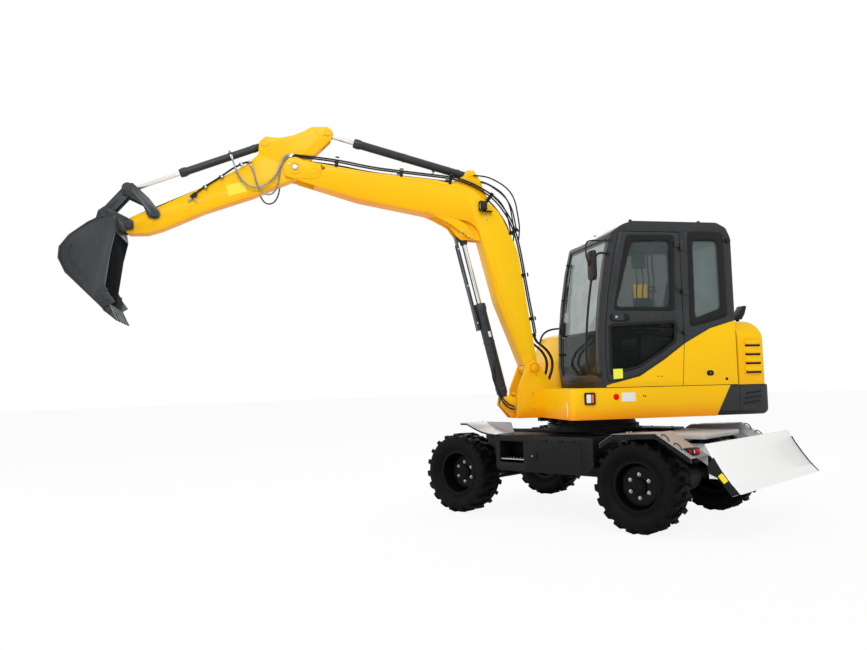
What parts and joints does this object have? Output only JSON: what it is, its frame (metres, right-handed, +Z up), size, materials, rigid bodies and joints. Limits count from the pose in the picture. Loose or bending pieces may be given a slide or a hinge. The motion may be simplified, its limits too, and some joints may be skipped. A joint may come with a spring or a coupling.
{
  "type": "wheeled excavator",
  "caption": "Wheeled excavator with slewing cab and upper, raised two-piece working arm with bucket, and a dozer blade behind the axle.",
  "frame": {"origin": "on the ground under the slew axis", "axes": "+X towards the steered axle, +Y to the chassis' left, +Z up; the upper is slewed 55.38 degrees towards +Y at rest"},
  "size_m": [5.0952, 6.111, 3.9191],
  "materials": {
    "black": "satin black paint",
    "bodyseat": "moulded",
    "charcoal": "satin charcoal paint",
    "chrome": "polished",
    "glass": "tinted",
    "hose": "hose",
    "lamp": "moulded lens",
    "pale": "satin pale grey paint",
    "plastic": "moulded",
    "seat": "woven",
    "slate": "satin slate paint",
    "steel": "bare steel",
    "tyre": "matte rubber",
    "yellow": "gloss yellow paint"
  },
  "bodies": {
    "chassis": {"chassis_frame": "black", "driveline": "black", "side_boxes": "charcoal", "slew_ring": "steel", "front_axle": "black", "rear_axle": "black", "rear_fenders": "pale", "front_fenders": "pale", "rear_cover": "pale", "tail_lamps": "lamp"},
    "steering_left": {"knuckle_left": "black"},
    "steering_right": {"knuckle_right": "black"},
    "steering_link": {"tie_rod": "steel"},
    "dozer_blade": {"blade": "pale"},
    "blade_barrel": {"blade_cylinder_barrel": "slate"},
    "blade_rod": {"blade_cylinder_rod": "chrome"},
    "upper": {"platform": "yellow", "counterweight": "charcoal", "rear_hood": "yellow", "engine_block": "black", "right_cover": "yellow", "cab_shell": "charcoal", "side_panel": "yellow", "cab_glass": "glass", "seat_base": "bodyseat", "seat_cushions": "seat", "cab_controls": "plastic", "side_lamps": "plastic", "mirrors": "plastic", "boom_foot_hoses": "hose"},
    "door": {"cab_door": "charcoal", "door_glass": "glass"},
    "main_boom": {"boom": "yellow", "boom_hoses": "hose", "boom_lamp": "plastic", "arm_hose_loops": "hose"},
    "boom_barrel": {"boom_cylinder_barrel": "slate"},
    "boom_rod": {"boom_cylinder_rod": "chrome"},
    "dipper": {"arm": "yellow", "arm_pipes": "black"},
    "arm_barrel": {"arm_cylinder_barrel": "slate"},
    "arm_rod": {"arm_cylinder_rod": "chrome"},
    "levers": {"tipping_levers": "slate"},
    "link": {"bucket_link": "slate"},
    "shovel": {"bucket": "slate"},
    "bucket_barrel": {"bucket_cylinder_barrel": "slate"},
    "bucket_rod": {"bucket_cylinder_rod": "chrome"},
    "wheel_front_left": {"tyre_front_left": "tyre", "rim_front_left": "black"},
    "wheel_front_right": {"tyre_front_right": "tyre", "rim_front_right": "black"},
    "wheel_rear_left": {"tyre_rear_left": "tyre", "rim_rear_left": "black"},
    "wheel_rear_right": {"tyre_rear_right": "tyre", "rim_rear_right": "black"}
  },
  "joints": [
    {"name": "steer_left", "type": "hinge", "parent": "chassis", "child": "steering_left", "pos_m": [1.115, 0.7, 0.41], "axis": [0, 0, 1], "range_deg": [-28, 28]},
    {"name": "steer_right", "type": "hinge", "parent": "chassis", "child": "steering_right", "pos_m": [1.115, -0.7, 0.41], "axis": [0, 0, 1], "range_deg": [-28, 28]},
    {"name": "steering_link_slide", "type": "slide", "parent": "chassis", "child": "steering_link", "axis": [0, 1, 0], "range_m": [-0.05, 0.05]},
    {"name": "roll_front_left", "type": "hinge", "parent": "steering_left", "child": "wheel_front_left", "pos_m": [1.115, 0.788, 0.41], "axis": [0, 1, 0], "continuous": true},
    {"name": "roll_front_right", "type": "hinge", "parent": "steering_right", "child": "wheel_front_right", "pos_m": [1.115, -0.788, 0.41], "axis": [0, 1, 0], "continuous": true},
    {"name": "roll_rear_left", "type": "hinge", "parent": "chassis", "child": "wheel_rear_left", "pos_m": [-0.965, 0.788, 0.41], "axis": [0, 1, 0], "continuous": true},
    {"name": "roll_rear_right", "type": "hinge", "parent": "chassis", "child": "wheel_rear_right", "pos_m": [-0.965, -0.788, 0.41], "axis": [0, 1, 0], "continuous": true},
    {"name": "blade_lift", "type": "hinge", "parent": "chassis", "child": "dozer_blade", "pos_m": [-0.68, 0, 0.72], "axis": [0, -1, 0], "range_deg": [0, 26]},
    {"name": "blade_barrel_swing", "type": "hinge", "parent": "chassis", "child": "blade_barrel", "pos_m": [-1.292, 0, 0.742], "axis": [0, -1, 0], "range_deg": [0, 60]},
    {"name": "blade_rod_slide", "type": "slide", "parent": "blade_barrel", "child": "blade_rod", "axis": [-0.9596, 0, -0.2813], "range_m": [0, 0.2]},
    {"name": "slew", "type": "hinge", "parent": "chassis", "child": "upper", "pos_m": [0, 0, 0.905], "axis": [0, 0, 1], "continuous": true},
    {"name": "door_swing", "type": "hinge", "parent": "upper", "child": "door", "pos_m": [-1.10857, 0.09455, 1.9], "axis": [0, 0, 1], "range_deg": [0, 165]},
    {"name": "boom_lift", "type": "hinge", "parent": "upper", "child": "main_boom", "pos_m": [0.38803, 0.56207, 1.489], "axis": [0.8229, -0.5681, 0], "range_deg": [-92, 9], "deforming": ["boom_foot_hoses"]},
    {"name": "boom_barrel_swing", "type": "hinge", "parent": "upper", "child": "boom_barrel", "pos_m": [0.5437, 0.78755, 1.14], "axis": [0.8229, -0.5681, 0], "range_deg": [-94, 10]},
    {"name": "boom_rod_slide", "type": "slide", "parent": "boom_barrel", "child": "boom_rod", "axis": [0.1304, 0.1889, 0.9733], "range_m": [-0.6, 0.06]},
    {"name": "arm_swing", "type": "hinge", "parent": "main_boom", "child": "dipper", "pos_m": [1.7328, 2.50996, 3.487], "axis": [-0.8229, 0.5681, 0], "range_deg": [-18, 90], "deforming": ["arm_hose_loops"]},
    {"name": "arm_barrel_swing", "type": "hinge", "parent": "main_boom", "child": "arm_barrel", "pos_m": [0.72493, 1.05007, 3.482], "axis": [-0.8229, 0.5681, 0], "range_deg": [-2, 5]},
    {"name": "arm_rod_slide", "type": "slide", "parent": "arm_barrel", "child": "arm_rod", "axis": [0.55, 0.7967, 0.2504], "range_m": [-0.14, 0.67]},
    {"name": "bucket_curl", "type": "hinge", "parent": "dipper", "child": "shovel", "pos_m": [2.60431, 3.77235, 2.895], "axis": [-0.8229, 0.5681, 0], "range_deg": [-82, 58]},
    {"name": "lever_swing", "type": "hinge", "parent": "dipper", "child": "levers", "pos_m": [2.47194, 3.5806, 3.002], "axis": [-0.8229, 0.5681, 0], "range_deg": [-59, 42]},
    {"name": "link_swing", "type": "hinge", "parent": "shovel", "child": "link", "pos_m": [2.72135, 3.94187, 3.008], "axis": [-0.8229, 0.5681, 0], "range_deg": [-48, 67]},
    {"name": "bucket_barrel_swing", "type": "hinge", "parent": "dipper", "child": "bucket_barrel", "pos_m": [1.89585, 2.74614, 3.731], "axis": [-0.8229, 0.5681, 0], "range_deg": [-5, 4]},
    {"name": "bucket_rod_slide", "type": "slide", "parent": "bucket_barrel", "child": "bucket_rod", "axis": [0.529, 0.7662, -0.3648], "range_m": [-0.31, 0.22]}
  ],
  "couplings": [
    {"joint": "steer_right", "follows": "steer_left", "ratio": 1},
    {"joint": "steering_link_slide", "follows": "steer_left", "m_per_rad": -0.1012},
    {"joint": "blade_barrel_swing", "follows": "blade_lift", "ratio": 2.045},
    {"joint": "blade_rod_slide", "follows": "blade_lift", "m_per_rad": 0.3927},
    {"joint": "boom_barrel_swing", "follows": "boom_lift", "ratio": 1.0088},
    {"joint": "boom_rod_slide", "follows": "boom_lift", "m_per_rad": 0.3708},
    {"joint": "arm_barrel_swing", "follows": "arm_swing", "ratio": 0.035},
    {"joint": "arm_rod_slide", "follows": "arm_swing", "m_per_rad": 0.4183},
    {"joint": "lever_swing", "follows": "bucket_curl", "ratio": 0.7062},
    {"joint": "link_swing", "follows": "bucket_curl", "ratio": -0.8114},
    {"joint": "bucket_barrel_swing", "follows": "bucket_curl", "ratio": 0.0463},
    {"joint": "bucket_rod_slide", "follows": "bucket_curl", "m_per_rad": 0.2113}
  ]
}
